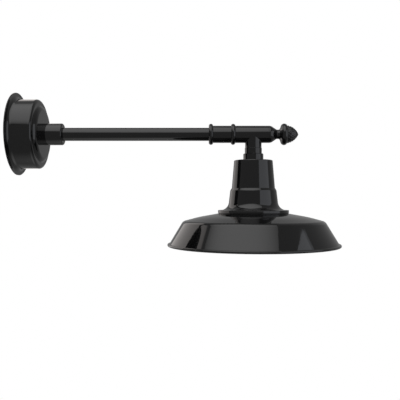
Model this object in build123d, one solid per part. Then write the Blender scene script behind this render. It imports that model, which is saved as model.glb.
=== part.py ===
from build123d import *
import os
from math import pi, sin, sqrt

# Barn light on a straight wall arm, in millimetres.
# The origin is the centre of the canopy's back rim, on the wall.
# +X runs out of the wall along the arm and +Z is up.

# Fits
running_clearance = 0.06  # radial, between pieces that turn in each other
slip_clearance = 0.05  # radial, between pieces that only slide together
swivel_gap = 0.2  # between flat faces that turn past each other

# Wall canopy, spun from steel sheet
canopy_flange_d = 167.6
canopy_flange_width = 13.25
canopy_depth = 48.0  # wall to the outer ring of the front face
canopy_sheet = 1.5
canopy_root_radius = 8.0  # flange into drum
canopy_edge_radius = 6.0  # drum into front face
canopy_pad_inset = 12.55  # drum in to the foot of the raised middle of the front face
canopy_pad_height = 6.2
canopy_pad_slope = 4.0  # width of the step up to the raised middle
canopy_pad_radius = 2.5

# Crossbar, a bent steel strap screwed over the wall box
box_screw_spacing = 88.9
box_slot_width = 5.0
box_slot_length = 12.0
crossbar_length = 112.0
crossbar_width = 22.0
crossbar_gauge = 2.5
crossbar_rise = 11.0  # wall to the back of the raised middle
crossbar_middle = 54.0  # length of the raised middle
crossbar_leg_run = 7.0  # length along the wall of each sloping leg
crossbar_bend_radius = 3.0
ground_screw_offset = 18.5
ground_screw_d = 4.8
ground_head_d = 8.4
ground_head_height = 2.6
ground_screw_length = 9.0

# Threaded nipples, their locknuts and the cable bushings in their ends
nipple_d = 16.6
nipple_bore = 11.0
nipple_tail = 2.5  # thread left proud of a locknut
locknut_across_flats = 22.0
locknut_thick = 5.0
bushing_flange_d = 14.0
bushing_flange_thick = 2.0
bushing_spigot = 6.0
cable_d = 6.4
cable_slip = 0.1
cable_bend_radius = 14.0  # where it turns down into the stem
cable_lead_in = 2.5  # straight run before a bend or past a swivel

# Collar between the canopy and the arm
collar_wall = 8.75
collar_length = 39.5
collar_edge_radius = 3.0
collar_thread = 11.0  # depth of the nipple's thread
collar_screw_inset = 17.0  # collar front to its set screw

# Set screws
set_screw_d = 5.0
set_screw_socket = 2.5
set_screw_socket_depth = 2.4
set_screw_recess = 0.6  # below the surface it sits in
set_screw_tip_gap = 0.06

# Arm
arm_d = 26.7
arm_wall = 2.0
stem_x = 482.7  # wall to the axis of the stem

# Tee that slips over the arm
sleeve_wall = 4.15
sleeve_rear = 89.85  # stem axis back to the open end
sleeve_front = 30.75  # stem axis forward to the finial
arm_stop = 18.0  # stem axis back to the arm's end
bead_rise = 3.95  # above the sleeve
bead_radius = 4.4
bead_inset = 3.0  # open end to the middle of the first bead
bead_spacing = 45.4
branch_inset = 0.8  # sleeve's side in to the branch's side
branch_drop = 28.0  # arm axis to the branch's lower face
branch_fillet = 1.5
tee_screw_x = 26.0  # open end to the tee's set screw
seam_chamfer = 0.35

# Finial, turned with a neck and a bead and tipped with a pinecone
finial_spigot = 10.0
finial_shoulder = 5.0
finial_shoulder_radius = 12.0
finial_neck_d = 18.9
finial_neck_start = 16.8  # seam to the foot of the tapered shoulder
finial_neck_end = 22.4  # seam to the foot of the bead's back
finial_neck_radius = 3.6
finial_bead_x = 32.15
finial_bead_rise = 4.15  # above the sleeve
finial_bead_radius = 6.6
cone_start = 34.8  # seam to the cone's widest round, inside the bead
cone_d = 36.0
cone_length = 26.7
cone_tip_d = 4.9
cone_rows = 7
scales_per_row = 16
scale_lobe_share = 1.12  # lobe width against the spacing of the scales
scale_foot = 0.97  # radius of a row's foot against the cone's outline
scale_tip = 1.03  # radius of a row's tips against the cone's outline

# Coupling that carries the head under the branch
coupling_d = 41.0
coupling_height = 25.2
coupling_top_d = 34.8
coupling_top_height = 11.7
coupling_chamfer = 0.8
coupling_screw_height = 6.3  # above the neck

# Neck, a cap screwed into a flanged base
neck_wall = 3.0
neck_top_plate = 4.0
neck_top_d = 78.6
neck_top_radius = 1.8
cap_height = 57.4
cap_bottom_d = 88.1
spigot_d = 82.0
spigot_height = 8.0
seal_section = 1.9
seal_groove_side = 0.15  # room each side of the seal in its groove
seal_depth = 4.0  # cap's foot to the middle of the seal
base_height = 44.4  # cap's foot to the top of the flange
base_land_d = 89.2
base_land_radius = 0.6
base_shoulder_d = 94.5
base_shoulder_drop = 4.6
base_shoulder_radius = 3.0
base_foot_d = 103.8  # where the taper would meet the flange
base_flare_radius = 17.5
flange_d = 144.4
flange_thick = 5.75
flange_edge_radius = 0.8
base_cavity_top_d = 86.0
base_bore_d = 100.0
gasket_thick = 1.0
gasket_inset = 0.5  # back from the flange's edge

# Shade, spun from steel sheet with a rolled rim
shade_sheet = 1.4
shade_hole_d = 108.0
shade_land_d = 141.4
shade_crown_d = 224.0
shade_crown_drop = 7.4
shade_crown_radius = 260.0
shade_corner_d = 288.2
shade_corner_drop = 16.0
shade_corner_radius = 11.0
shade_rim_d = 346.0
shade_rim_drop = 64.0
shade_rim_radius = 2.8

# Lamp under the shade's crown
plate_d = 138.0
plate_thick = 4.0
plate_boss_height = 6.6
wire_hole_d = 10.0
clamp_circle_d = 126.0
clamp_count = 4
clamp_turn = 45.0
clamp_screw_d = 4.0
clamp_screw_bite = 4.2  # length of thread in the flange
clamp_hole_spare = 0.8  # tapped hole beyond the screw's end
clamp_head_d = 7.4
clamp_head_height = 2.6
board_d = 84.0
board_thick = 1.6
board_hole_d = 10.0
board_screw_circle_d = 72.0
board_screw_count = 3
board_screw_turn = 90.0
board_screw_d = 3.0
board_screw_bite = 3.0
board_head_d = 5.6
board_head_height = 1.8
chip_size = 3.0
chip_height = 0.8
inner_chip_circle_d = 28.0
inner_chip_count = 6
outer_chip_circle_d = 52.0
outer_chip_count = 12
lens_d = 109.0
lens_flange_thick = 2.2
lens_dome_d = 98.0
lens_dome_depth = 13.2
lens_wall = 2.0
lens_ring_d = 137.0
lens_ring_bore_d = 101.0
lens_ring_height = 5.0
lens_ring_radius = 2.0

# Driver in the neck
driver_d = 62.0
driver_height = 36.0
driver_edge_radius = 2.0
driver_ear_span = 76.0
driver_ear_width = 10.0
driver_ear_thick = 2.5
driver_screw_span = 69.0
driver_screw_d = 3.0
driver_screw_bite = 4.0
driver_head_d = 5.6
driver_head_height = 1.8
gland_d = 12.0
gland_height = 5.0
lead_d = 1.8
lead_spacing = 5.0
lead_reach = 11.0  # lamp axis to the lead's end on the board
lead_bend_radius = 2.2

# Screw recesses
cross_width = 0.9
cross_share = 0.6  # recess length against the head
cross_depth_share = 0.55  # recess depth against the head

# Diameters that follow from the flange, the arm and the nipple
canopy_drum_d = canopy_flange_d - 2 * canopy_flange_width
canopy_pad_d = canopy_drum_d - 2 * canopy_pad_inset
collar_d = arm_d + 2 * collar_wall
sleeve_d = arm_d + 2 * sleeve_wall
bead_d = sleeve_d + 2 * bead_rise
branch_d = sleeve_d - 2 * branch_inset
finial_bead_d = sleeve_d + 2 * finial_bead_rise
sleeve_bore_r = arm_d / 2 + running_clearance
nipple_r = nipple_d / 2
socket_r = spigot_d / 2 + slip_clearance
seal_centre_r = (spigot_d - seal_section) / 2

# Places along the arm
canopy_face = canopy_depth + canopy_pad_height
collar_front = canopy_face + collar_length
arm_start = canopy_face + collar_thread
arm_end = stem_x - arm_stop
sleeve_start = stem_x - sleeve_rear
sleeve_end = stem_x + sleeve_front
middle_front = crossbar_rise + crossbar_gauge
nipple_start = crossbar_rise - locknut_thick - nipple_tail

# Heights down the stem
coupling_top = -branch_drop - swivel_gap
neck_top = coupling_top - coupling_height
cap_foot = neck_top - cap_height
flange_top = cap_foot - base_height
flange_foot = flange_top - flange_thick
shade_top = flange_foot - gasket_thick
plate_top = shade_top - shade_sheet
plate_foot = plate_top - plate_thick
board_foot = plate_foot - board_thick
ring_foot = plate_foot - lens_ring_height
boss_top = plate_top + plate_boss_height
driver_top = boss_top + driver_height
locknut_top = neck_top - neck_top_plate - swivel_gap / 2
stem_foot = locknut_top - locknut_thick - nipple_tail

# Where the cable is parted at the two swivels
cable_roll_x = stem_x - cable_bend_radius - cable_lead_in
cable_turn_z = coupling_top - cable_lead_in

stem_axis = Axis((stem_x, 0, 0), (0, 0, 1))
stem_plane = Plane(origin=(stem_x, 0, 0), x_dir=(1, 0, 0), z_dir=(0, -1, 0))


def save(name, shape):
    solids = shape.solids()
    export_step(solids[0] if len(solids) == 1 else Compound(solids), f"parts/{name}.step")
    print(name, len(solids), round(sum(solid.volume for solid in solids)))


def split_corners(corners):
    points = [corner[:2] for corner in corners]
    radii = [corner[2] if len(corner) == 3 else 0 for corner in corners]
    return points, radii


def outline(*corners):
    """A closed face; each corner is a point with an optional rounding radius."""
    points, radii = split_corners(corners)
    return make_face(FilletPolyline(*points, radius=radii, close=True).edges())


def sheet(thickness, *corners):
    """The section of a sheet that lies to the right of the line through the corners."""
    points, radii = split_corners(corners)
    face_line = FilletPolyline(*points, radius=radii[1:-1])
    return make_face(offset(face_line, thickness, side=Side.RIGHT).edges())


def turned_on_arm(section):
    """Turn a section, drawn as distance along the arm and radius."""
    return revolve(Plane.XZ * section, Axis.X)


def turned_on_stem(section):
    """Turn a section, drawn as radius and height, about the stem."""
    return revolve(stem_plane * section, stem_axis)


def along_arm(x):
    return Plane.YZ.offset(x)


def across_stem(z):
    return Plane(origin=(stem_x, 0, z), x_dir=(1, 0, 0), z_dir=(0, 0, 1))


def on_circle(shape, diameter, count, turn=0.0):
    """Copies of a flat shape round a circle."""
    return Sketch() + PolarLocations(diameter / 2, count, start_angle=turn) * shape


def planes_on_circle(z, diameter, count, turn=0.0):
    places = PolarLocations(diameter / 2, count, start_angle=turn)
    return [Plane(across_stem(z).location * place) for place in places]


def locknut(plane):
    nut = RegularPolygon(locknut_across_flats / 2, 6, major_radius=False)
    return extrude(plane * (nut - Circle(nipple_r + slip_clearance)), locknut_thick)


def set_screw(seat, length):
    """A socket screw from its tip plane outwards."""
    body = extrude(seat * Circle(set_screw_d / 2), length)
    hexagon = RegularPolygon(set_screw_socket / 2, 6, major_radius=False)
    return body - extrude(seat.offset(length) * hexagon, -set_screw_socket_depth)


def set_screw_hole(seat, length):
    return extrude(seat * Circle(set_screw_d / 2 + slip_clearance), length)


def pan_screw(plane, head_d, head_height, shank_d, shank):
    """A cross-recessed screw; the plane is under its head and faces along the shank."""
    edge = head_height * cross_share
    section = outline(
        (0, -head_height),
        (head_d / 2, -head_height, edge),
        (head_d / 2, 0),
        (shank_d / 2, 0),
        (shank_d / 2, shank),
        (0, shank),
    )
    body = revolve(Plane.XZ * section, Axis.Z)
    arm_length = head_d * cross_share
    cross = Rectangle(arm_length, cross_width) + Rectangle(cross_width, arm_length)
    recess = extrude(Plane.XY.offset(-head_height) * cross, head_height * cross_depth_share)
    return plane.location * (body - recess)


def bushing_section():
    """Drawn from the nipple's end, as distance out of the nipple and radius."""
    hole = cable_d / 2 + cable_slip
    spigot = nipple_bore / 2 - slip_clearance
    return outline(
        (bushing_flange_thick, hole),
        (bushing_flange_thick, bushing_flange_d / 2, bushing_flange_thick / 2),
        (0, bushing_flange_d / 2),
        (0, spigot),
        (-bushing_spigot, spigot),
        (-bushing_spigot, hole),
    )


# Canopy
def make_canopy():
    drum_r = canopy_drum_d / 2
    pad_r = canopy_pad_d / 2
    section = sheet(
        canopy_sheet,
        (canopy_sheet, canopy_flange_d / 2),
        (canopy_sheet, drum_r, canopy_root_radius),
        (canopy_depth, drum_r, canopy_edge_radius),
        (canopy_depth, pad_r, canopy_pad_radius),
        (canopy_face, pad_r - canopy_pad_slope, canopy_pad_radius),
        (canopy_face, nipple_r + slip_clearance),
    )
    return turned_on_arm(section)


# Crossbar
def make_crossbar():
    middle = crossbar_middle / 2
    foot = middle + crossbar_leg_run
    end = crossbar_length / 2
    bend = crossbar_bend_radius
    strap = sheet(
        crossbar_gauge,
        (0, -end),
        (0, -foot, bend),
        (crossbar_rise, -middle, bend + crossbar_gauge),
        (crossbar_rise, middle, bend + crossbar_gauge),
        (0, foot, bend),
        (0, end),
    )
    bar = extrude(strap, crossbar_width / 2, both=True)
    slot = SlotOverall(box_slot_length, box_slot_width)
    slots = on_circle(slot, box_screw_spacing, 2)
    bar -= extrude(along_arm(0) * slots, crossbar_gauge)
    ground_hole = Pos(ground_screw_offset, 0) * Circle(ground_screw_d / 2 + slip_clearance)
    holes = Circle(nipple_r + slip_clearance) + ground_hole
    return bar - extrude(along_arm(crossbar_rise) * holes, crossbar_gauge)


def make_ground_screw():
    seat = Plane(origin=(middle_front, ground_screw_offset, 0), z_dir=(-1, 0, 0))
    return pan_screw(seat, ground_head_d, ground_head_height, ground_screw_d, ground_screw_length)


# Canopy nipple, its nuts and its bushing
def make_canopy_nipple():
    ring = Circle(nipple_r) - Circle(nipple_bore / 2)
    length = arm_start - slip_clearance - nipple_start
    return extrude(along_arm(nipple_start) * ring, length)


def make_crossbar_locknuts():
    behind = locknut(along_arm(crossbar_rise - locknut_thick))
    ahead = locknut(along_arm(middle_front))
    return Compound([behind, ahead])


def make_canopy_bushing():
    seat = Plane(origin=(nipple_start, 0, 0), x_dir=(-1, 0, 0), z_dir=(0, 1, 0))
    return revolve(seat * bushing_section(), Axis.X)


# Collar
def collar_screw_seat():
    x = collar_front - collar_screw_inset
    return Plane(origin=(x, 0, -arm_d / 2 - set_screw_tip_gap), z_dir=(0, 0, -1))


def make_collar():
    section = outline(
        (canopy_face, nipple_r + slip_clearance),
        (canopy_face, collar_d / 2),
        (collar_front, collar_d / 2, collar_edge_radius),
        (collar_front, arm_d / 2 + slip_clearance, seam_chamfer),
        (arm_start, arm_d / 2 + slip_clearance),
        (arm_start, nipple_r + slip_clearance),
    )
    return turned_on_arm(section) - set_screw_hole(collar_screw_seat(), collar_d)


def make_collar_set_screw():
    length = (collar_d - arm_d) / 2 - set_screw_tip_gap - set_screw_recess
    return set_screw(collar_screw_seat(), length)


# Arm
def make_arm_tube():
    ring = Circle(arm_d / 2) - Circle(arm_d / 2 - arm_wall)
    return extrude(along_arm(arm_start) * ring, arm_end - arm_start)


# Tee
def tee_screw_seat():
    x = sleeve_start + tee_screw_x
    return Plane(origin=(x, 0, -arm_d / 2 - set_screw_tip_gap), z_dir=(0, 0, -1))


def make_tee_fitting():
    sleeve = turned_on_arm(
        outline(
            (sleeve_start, 0),
            (sleeve_start, sleeve_d / 2),
            (sleeve_end, sleeve_d / 2, seam_chamfer),
            (sleeve_end, 0),
        )
    )
    branch = extrude(Plane.XY * Pos(stem_x, 0) * Circle(branch_d / 2), -branch_drop)
    tee = sleeve + branch
    tee = fillet(tee.edges().filter_by(GeomType.BSPLINE), branch_fillet)
    for step in range(2):
        bead_x = sleeve_start + bead_inset + step * bead_spacing
        tee += turned_on_arm(Pos(bead_x, bead_d / 2 - bead_radius) * Circle(bead_radius))
    tee -= extrude(along_arm(0) * Circle(sleeve_bore_r), sleeve_end)
    tee -= extrude(Plane.XY * Pos(stem_x, 0) * Circle(nipple_r + slip_clearance), -branch_drop)
    return tee - set_screw_hole(tee_screw_seat(), sleeve_d)


def make_tee_set_screw():
    length = (sleeve_d - arm_d) / 2 - set_screw_tip_gap - set_screw_recess
    return set_screw(tee_screw_seat(), length)


# Finial
def cone_radius(x):
    """The cone's outline: an arc that starts along the arm and ends at the tip."""
    base = cone_d / 2
    arc = (cone_length**2 + base**2) / (2 * base)
    return base - arc + sqrt(arc**2 - x**2)


def scale_section(x, radius, turn):
    """A round of scales, cut across the cone."""
    lobe = radius * sin(pi / scales_per_row) * scale_lobe_share
    lobes = PolarLocations(radius - lobe, scales_per_row, start_angle=turn) * Circle(lobe)
    return along_arm(x) * (Circle(radius - lobe) + lobes)


def make_finial():
    seam = sleeve_end
    neck_r = finial_neck_d / 2
    bead_centre_r = finial_bead_d / 2 - finial_bead_radius
    spigot_r = sleeve_bore_r - slip_clearance
    bead_x = seam + finial_bead_x
    cone_back = seam + cone_start
    body = turned_on_arm(
        outline(
            (seam - finial_spigot, 0),
            (seam - finial_spigot, spigot_r, seam_chamfer),
            (seam, spigot_r),
            (seam, sleeve_d / 2, seam_chamfer),
            (seam + finial_shoulder, sleeve_d / 2, finial_shoulder_radius),
            (seam + finial_neck_start, neck_r, finial_neck_radius),
            (seam + finial_neck_end, neck_r, finial_neck_radius),
            (bead_x - finial_bead_radius + seam_chamfer, bead_centre_r),
            (bead_x, bead_centre_r),
            (cone_back, cone_d / 2),
            (cone_back, 0),
        )
    )
    body += turned_on_arm(Pos(bead_x, bead_centre_r) * Circle(finial_bead_radius))
    row_length = cone_length / cone_rows
    for row in range(cone_rows):
        foot = row * row_length
        tip = foot + row_length
        turn = (row % 2) * 180 / scales_per_row
        lower = scale_section(cone_back + foot, cone_radius(foot) * scale_foot, turn)
        upper_r = max(cone_radius(tip) * scale_tip, cone_tip_d / 2)
        upper = scale_section(cone_back + tip, upper_r, turn)
        body += loft([lower, upper], ruled=True)
    return body


# Stem nipple, its nut and its bushing
def make_stem_nipple():
    ring = Circle(nipple_r) - Circle(nipple_bore / 2)
    top = -sleeve_bore_r - slip_clearance
    return extrude(across_stem(top) * ring, stem_foot - top)


def make_stem_locknut():
    return locknut(across_stem(locknut_top - locknut_thick))


def make_stem_bushing():
    seat = Plane(origin=(stem_x, 0, stem_foot), x_dir=(0, 0, -1), z_dir=(0, -1, 0))
    return revolve(seat * bushing_section(), stem_axis)


# Coupling
def coupling_screw_seat():
    tip = nipple_r + set_screw_tip_gap
    return Plane(origin=(stem_x, tip, neck_top + coupling_screw_height), z_dir=(0, 1, 0))


def make_stem_coupling():
    bore = nipple_r + running_clearance
    step = coupling_top - coupling_top_height
    section = outline(
        (bore, coupling_top),
        (coupling_top_d / 2, coupling_top, seam_chamfer),
        (coupling_top_d / 2, step),
        (coupling_d / 2 - coupling_chamfer, step),
        (coupling_d / 2, step - coupling_chamfer),
        (coupling_d / 2, neck_top),
        (bore, neck_top),
    )
    return turned_on_stem(section) - set_screw_hole(coupling_screw_seat(), coupling_d)


def make_coupling_set_screw():
    length = coupling_d / 2 - nipple_r - set_screw_tip_gap - set_screw_recess
    return set_screw(coupling_screw_seat(), length)


# Neck
def make_neck_cap():
    hole = nipple_r + running_clearance
    spigot_r = spigot_d / 2
    inner_r = spigot_r - neck_wall
    top_inner_r = neck_top_d / 2 - neck_wall
    groove_r = seal_centre_r - seal_section / 2 - slip_clearance
    groove_half = seal_section / 2 + seal_groove_side
    seal_z = cap_foot - seal_depth
    section = outline(
        (hole, neck_top),
        (neck_top_d / 2, neck_top, neck_top_radius),
        (cap_bottom_d / 2, cap_foot),
        (spigot_r, cap_foot),
        (spigot_r, seal_z + groove_half),
        (groove_r, seal_z + groove_half),
        (groove_r, seal_z - groove_half),
        (spigot_r, seal_z - groove_half),
        (spigot_r, cap_foot - spigot_height),
        (inner_r, cap_foot - spigot_height),
        (top_inner_r, neck_top - neck_top_plate, neck_top_radius),
        (hole, neck_top - neck_top_plate),
    )
    return turned_on_stem(section)


def make_neck_seal():
    return turned_on_stem(Pos(seal_centre_r, cap_foot - seal_depth) * Circle(seal_section / 2))


def make_neck_base():
    section = outline(
        (socket_r, cap_foot),
        (base_land_d / 2, cap_foot, base_land_radius),
        (base_shoulder_d / 2, cap_foot - base_shoulder_drop, base_shoulder_radius),
        (base_foot_d / 2, flange_top, base_flare_radius),
        (flange_d / 2, flange_top, flange_edge_radius),
        (flange_d / 2, flange_foot, flange_edge_radius),
        (base_bore_d / 2, flange_foot),
        (base_bore_d / 2, boss_top),
        (base_cavity_top_d / 2, cap_foot - spigot_height - slip_clearance),
        (socket_r, cap_foot - spigot_height - slip_clearance),
    )
    base = turned_on_stem(section)
    return base - extrude(across_stem(flange_foot) * clamp_holes(), clamp_screw_bite + clamp_hole_spare)


# Shade and its gasket
def clamp_holes():
    return on_circle(Circle(clamp_screw_d / 2 + slip_clearance), clamp_circle_d, clamp_count, clamp_turn)


def make_flange_gasket():
    ring = Circle(flange_d / 2 - gasket_inset) - Circle(shade_hole_d / 2) - clamp_holes()
    return extrude(across_stem(shade_top) * ring, gasket_thick)


def make_shade():
    section = sheet(
        shade_sheet,
        (shade_hole_d / 2, shade_top),
        (shade_land_d / 2, shade_top, shade_corner_radius),
        (shade_crown_d / 2, shade_top - shade_crown_drop, shade_crown_radius),
        (shade_corner_d / 2, shade_top - shade_corner_drop, shade_corner_radius),
        (shade_rim_d / 2, shade_top - shade_rim_drop),
    )
    section += Pos(shade_rim_d / 2, shade_top - shade_rim_drop) * Circle(shade_rim_radius)
    return turned_on_stem(section) - extrude(across_stem(plate_top) * clamp_holes(), shade_sheet)


# Lamp
def make_led_plate():
    boss_r = base_bore_d / 2 - slip_clearance
    plate = extrude(across_stem(plate_foot) * (Circle(plate_d / 2) - clamp_holes()), plate_thick)
    plate += extrude(across_stem(plate_top) * Circle(boss_r), plate_boss_height)
    plate -= extrude(across_stem(plate_foot) * Circle(wire_hole_d / 2), plate_thick + plate_boss_height)
    plate -= extrude(across_stem(plate_foot) * board_holes(), board_screw_bite)
    return plate - extrude(across_stem(boss_top) * driver_holes(), -driver_screw_bite)


def board_holes():
    hole = Circle(board_screw_d / 2 + slip_clearance)
    return on_circle(hole, board_screw_circle_d, board_screw_count, board_screw_turn)


def make_led_board():
    board = Circle(board_d / 2) - Circle(board_hole_d / 2) - board_holes()
    return extrude(across_stem(board_foot) * board, board_thick)


def make_board_screws():
    length = board_thick + board_screw_bite
    seats = planes_on_circle(
        board_foot, board_screw_circle_d, board_screw_count, board_screw_turn
    )
    return Compound(
        [pan_screw(seat, board_head_d, board_head_height, board_screw_d, length) for seat in seats]
    )


def make_led_chips():
    chip = Rectangle(chip_size, chip_size)
    inner = on_circle(chip, inner_chip_circle_d, inner_chip_count)
    outer = on_circle(chip, outer_chip_circle_d, outer_chip_count)
    return extrude(across_stem(board_foot) * (inner + outer), -chip_height)


def make_led_leads():
    start = (lead_spacing / 2, 0, boss_top)
    run = board_foot - lead_d / 2
    path = FilletPolyline(
        start,
        (lead_spacing / 2, 0, run),
        (lead_reach, 0, run),
        radius=lead_bend_radius,
    )
    lead = sweep(Plane(origin=start, z_dir=(0, 0, -1)) * Circle(lead_d / 2), path=path)
    other = lead.rotate(Axis.Z, 180)
    return Pos(stem_x, 0, 0) * Compound([lead, other])


def make_lens():
    flange_r = lens_d / 2
    dome_r = lens_dome_d / 2
    flange_z = plate_foot - lens_flange_thick
    inner_r = dome_r - lens_wall
    bottom = flange_z - lens_dome_depth
    edges = [
        Line((inner_r, plate_foot), (flange_r, plate_foot)),
        Line((flange_r, plate_foot), (flange_r, flange_z)),
        Line((flange_r, flange_z), (dome_r, flange_z)),
        TangentArc((0, bottom), (dome_r, flange_z), tangent=(1, 0)),
        Line((0, bottom), (0, bottom + lens_wall)),
        TangentArc((0, bottom + lens_wall), (inner_r, plate_foot), tangent=(1, 0)),
    ]
    return turned_on_stem(make_face(edges))


def make_lens_ring():
    pocket_r = lens_d / 2 + slip_clearance
    lip = plate_foot - lens_flange_thick - slip_clearance
    section = outline(
        (pocket_r, plate_foot),
        (lens_ring_d / 2, plate_foot),
        (lens_ring_d / 2, ring_foot, lens_ring_radius),
        (lens_ring_bore_d / 2, ring_foot, lens_ring_radius / 2),
        (lens_ring_bore_d / 2, lip),
        (pocket_r, lip),
    )
    return turned_on_stem(section) - extrude(across_stem(ring_foot) * clamp_holes(), lens_ring_height)


def make_clamp_screws():
    length = flange_foot + clamp_screw_bite - ring_foot
    seats = planes_on_circle(ring_foot, clamp_circle_d, clamp_count, clamp_turn)
    return Compound(
        [pan_screw(seat, clamp_head_d, clamp_head_height, clamp_screw_d, length) for seat in seats]
    )


# Driver
def driver_holes():
    return on_circle(Circle(driver_screw_d / 2 + slip_clearance), driver_screw_span, 2)


def make_driver_case():
    section = outline(
        (0, boss_top),
        (driver_d / 2, boss_top),
        (driver_d / 2, driver_top, driver_edge_radius),
        (gland_d / 2, driver_top),
        (gland_d / 2, driver_top + gland_height, driver_edge_radius / 2),
        (0, driver_top + gland_height),
    )
    ears = SlotOverall(driver_ear_span, driver_ear_width) - driver_holes()
    return turned_on_stem(section) + extrude(across_stem(boss_top) * ears, driver_ear_thick)


def make_driver_screws():
    length = driver_ear_thick + driver_screw_bite
    places = planes_on_circle(boss_top + driver_ear_thick, driver_screw_span, 2)
    seats = [Plane(origin=place.origin, z_dir=(0, 0, -1)) for place in places]
    return Compound(
        [pan_screw(seat, driver_head_d, driver_head_height, driver_screw_d, length) for seat in seats]
    )


# Cable, parted where the arm and the stem turn
def make_arm_cable():
    start = nipple_start - bushing_flange_thick
    return extrude(along_arm(start) * Circle(cable_d / 2), cable_roll_x - start)


def make_tee_cable():
    start = (cable_roll_x, 0, 0)
    path = FilletPolyline(start, (stem_x, 0, 0), (stem_x, 0, cable_turn_z), radius=cable_bend_radius)
    return sweep(along_arm(cable_roll_x) * Circle(cable_d / 2), path=path)


def make_head_cable():
    gland_top = driver_top + gland_height
    return extrude(across_stem(gland_top) * Circle(cable_d / 2), cable_turn_z - gland_top)


os.makedirs("parts", exist_ok=True)
makers = (
    make_canopy,
    make_crossbar,
    make_ground_screw,
    make_canopy_nipple,
    make_crossbar_locknuts,
    make_canopy_bushing,
    make_collar,
    make_collar_set_screw,
    make_arm_tube,
    make_arm_cable,
    make_tee_fitting,
    make_tee_set_screw,
    make_finial,
    make_stem_nipple,
    make_stem_locknut,
    make_stem_bushing,
    make_tee_cable,
    make_stem_coupling,
    make_coupling_set_screw,
    make_neck_cap,
    make_neck_seal,
    make_neck_base,
    make_flange_gasket,
    make_shade,
    make_led_plate,
    make_led_board,
    make_board_screws,
    make_led_chips,
    make_led_leads,
    make_lens,
    make_lens_ring,
    make_clamp_screws,
    make_driver_case,
    make_driver_screws,
    make_head_cable,
)
for maker in makers:
    save(maker.__name__.removeprefix("make_"), maker())
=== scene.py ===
# %% [markdown]
# # A barn light on a straight wall arm
# The real light is a spun steel shade that hangs from a cast tee at the end of a steel tube.
# A round canopy carries the tube on the wall. Nearly all that shows is one gloss black finish,
# so the picture lives from what the paint mirrors: soft panels, a pale floor and a dark room.
# The solids come from the CAD model and stay where they are. This script gives them their
# finishes, makes the pieces that need finer relief, and sets up the room and the camera.

import math

import bpy
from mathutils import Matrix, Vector


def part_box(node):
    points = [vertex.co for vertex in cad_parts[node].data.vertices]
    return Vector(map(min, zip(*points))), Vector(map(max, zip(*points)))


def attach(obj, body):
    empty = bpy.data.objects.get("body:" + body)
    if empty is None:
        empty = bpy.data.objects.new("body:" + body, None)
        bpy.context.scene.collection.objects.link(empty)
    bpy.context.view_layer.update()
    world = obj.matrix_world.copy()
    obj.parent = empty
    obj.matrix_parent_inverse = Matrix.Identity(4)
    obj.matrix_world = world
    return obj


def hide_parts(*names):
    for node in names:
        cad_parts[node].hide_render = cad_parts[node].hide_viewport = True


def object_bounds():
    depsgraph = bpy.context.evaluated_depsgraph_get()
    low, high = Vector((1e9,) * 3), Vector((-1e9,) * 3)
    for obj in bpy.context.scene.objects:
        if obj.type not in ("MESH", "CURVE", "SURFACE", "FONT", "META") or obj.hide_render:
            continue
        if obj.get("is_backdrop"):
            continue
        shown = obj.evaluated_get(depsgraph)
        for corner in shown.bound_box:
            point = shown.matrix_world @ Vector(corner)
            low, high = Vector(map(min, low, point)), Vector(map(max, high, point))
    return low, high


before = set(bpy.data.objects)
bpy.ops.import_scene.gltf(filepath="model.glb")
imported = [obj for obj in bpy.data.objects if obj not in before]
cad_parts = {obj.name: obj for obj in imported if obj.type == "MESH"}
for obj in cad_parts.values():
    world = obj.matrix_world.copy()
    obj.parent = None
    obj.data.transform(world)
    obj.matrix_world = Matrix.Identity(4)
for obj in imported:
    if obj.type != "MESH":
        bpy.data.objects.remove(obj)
cad_low, cad_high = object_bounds()
print("solids:", len(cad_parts))
print("box in mm:", [round(1000 * side, 1) for side in cad_high - cad_low])

# %% [markdown]
# ## Colours, sizes and nodes
# A colour is easiest to note as a hex value, the way paint is named on a screen, but shaders
# add up light and want linear numbers. One function does that step for every colour here.
# Patterns are given by a real size in millimetres: the scene is in metres, so a pattern of
# that size repeats 1000 / size times along one unit of the texture's coordinates.
# Another function adds a node: an input that is given a socket gets a link, any other gets the
# value itself. A Mix node has a socket of the same name for each kind of data, so a socket is
# looked up among the live ones.

# %% Helpers for materials
def linear(hex_colour):
    channels = [int(hex_colour[i:i + 2], 16) / 255 for i in (1, 3, 5)]
    low = [c / 12.92 for c in channels]
    high = [((c + 0.055) / 1.055) ** 2.4 for c in channels]
    return [l if c <= 0.04045 else h for c, l, h in zip(channels, low, high)] + [1.0]


def per_mm(size):
    return 1000.0 / size


def live(sockets, name):
    return next(s for s in sockets if s.enabled and s.name == name)


def result(node):
    return live(node.outputs, "Result")


def link_or_set(tree, socket, value):
    if isinstance(value, bpy.types.NodeSocket):
        tree.links.new(value, socket)
    else:
        socket.default_value = value


def add_node(tree, kind, inputs, **settings):
    node = tree.nodes.new(kind)
    for name, value in settings.items():
        setattr(node, name, value)
    for name, value in inputs.items():
        socket = node.inputs[name] if isinstance(name, int) else live(node.inputs, name)
        link_or_set(tree, socket, value)
    return node


def start_material(name):
    material = bpy.data.materials.new(name)
    material.use_nodes = True
    tree = material.node_tree
    return material, tree, tree.nodes["Principled BSDF"]


def feed(tree, node, **inputs):
    for name, value in inputs.items():
        link_or_set(tree, node.inputs[name.replace("_", " ")], value)


print("screen black #0b0b0c as light:", [round(c, 4) for c in linear("#0b0b0c")])

# %% [markdown]
# ## Gloss black powder coat on spun and drawn steel
# The canopy, the arm and the outside of the shade are steel with a baked powder coat. The powder
# melts into a skin that mirrors like glass (IOR about 1.5), with a trace of orange peel: swells
# about 2.5 mm wide and a few thousandths of a millimetre deep. Handling leaves patches that are a
# little less clear. A flat black with low roughness would look like plastic film, so the peel
# goes into the bump and the handling into the roughness.

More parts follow.
